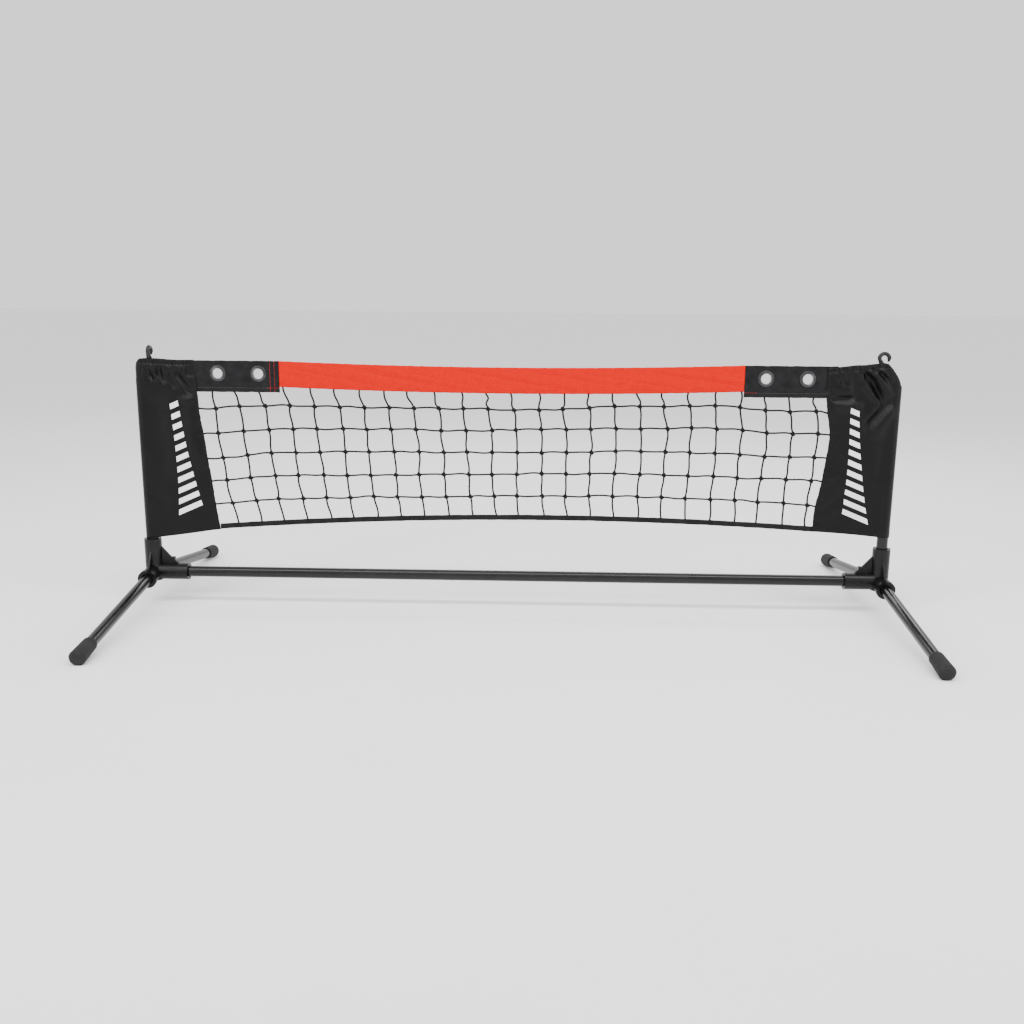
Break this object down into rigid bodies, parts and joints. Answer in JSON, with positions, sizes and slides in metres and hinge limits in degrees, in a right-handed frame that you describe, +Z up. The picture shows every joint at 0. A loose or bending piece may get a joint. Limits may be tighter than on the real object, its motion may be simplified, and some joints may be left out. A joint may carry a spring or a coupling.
{
  "type": "free-standing mini ball net",
  "caption": "Free-standing mini net for ball games: tube base with sloping legs and rubber feet, posts with hooks, knotted net with orange top tape and black end sleeves.",
  "frame": {"origin": "on the floor, in the plane of the net, midway between the posts", "axes": "+X along the net, +Y from the front feet to the rear feet, +Z up"},
  "size_m": [1.538, 0.775, 0.5338],
  "materials": {
    "coated_tube": "semi-gloss black powder coat",
    "bare_steel": "zinc-plated",
    "moulded_corner": "semi-gloss moulded black plastic",
    "foot_rubber": "matt dark grey rubber",
    "hook_plastic": "dark grey moulded plastic",
    "sleeve_cloth": "shiny black coated nylon",
    "hem_elastic": "woven elastic",
    "black_webbing": "woven black webbing",
    "orange_webbing": "woven orange-red webbing",
    "net_twine": "knotted black twine",
    "dark_nickel": "dark nickel plating"
  },
  "bodies": {
    "base_frame": {"left_connector": "moulded_corner", "right_connector": "moulded_corner", "crossbar_left": "coated_tube", "crossbar_middle": "coated_tube", "crossbar_right": "coated_tube", "left_ferrule": "bare_steel", "right_ferrule": "bare_steel"},
    "net_and_posts": {"left_post": "coated_tube", "right_post": "coated_tube", "left_post_cap": "moulded_corner", "right_post_cap": "moulded_corner", "left_sleeve": "sleeve_cloth", "right_sleeve": "sleeve_cloth", "left_hem_elastic": "hem_elastic", "right_hem_elastic": "hem_elastic", "left_end_band": "black_webbing", "right_end_band": "black_webbing", "top_tape": "orange_webbing", "bottom_band": "black_webbing", "net_mesh": "net_twine", "eyelets": "dark_nickel", "eyelet_washers": "dark_nickel"},
    "left_hook_body": {"left_hook": "hook_plastic"},
    "right_hook_body": {"right_hook": "hook_plastic"},
    "front_left_leg_body": {"front_left_leg": "coated_tube", "front_left_foot": "foot_rubber"},
    "front_right_leg_body": {"front_right_leg": "coated_tube", "front_right_foot": "foot_rubber"},
    "rear_left_leg_body": {"rear_left_leg": "coated_tube", "rear_left_foot": "foot_rubber"},
    "rear_right_leg_body": {"rear_right_leg": "coated_tube", "rear_right_foot": "foot_rubber"}
  },
  "joints": [
    {"name": "net_lift", "type": "slide", "parent": "base_frame", "child": "net_and_posts", "axis": [0, 0, 1], "range_m": [0, 0.06]},
    {"name": "left_hook_swivel", "type": "hinge", "parent": "net_and_posts", "child": "left_hook_body", "pos_m": [-0.732, 0, 0.5], "axis": [0, 0, 1], "continuous": true},
    {"name": "right_hook_swivel", "type": "hinge", "parent": "net_and_posts", "child": "right_hook_body", "pos_m": [0.724, 0, 0.5], "axis": [0, 0, 1], "continuous": true},
    {"name": "front_left_leg_pull", "type": "slide", "parent": "base_frame", "child": "front_left_leg_body", "axis": [0, -0.9902, -0.1394], "range_m": [0, 0.035]},
    {"name": "front_right_leg_pull", "type": "slide", "parent": "base_frame", "child": "front_right_leg_body", "axis": [0, -0.9902, -0.1394], "range_m": [0, 0.035]},
    {"name": "rear_left_leg_pull", "type": "slide", "parent": "base_frame", "child": "rear_left_leg_body", "axis": [0, 0.9902, -0.1394], "range_m": [0, 0.035]},
    {"name": "rear_right_leg_pull", "type": "slide", "parent": "base_frame", "child": "rear_right_leg_body", "axis": [0, 0.9902, -0.1394], "range_m": [0, 0.035]}
  ]
}
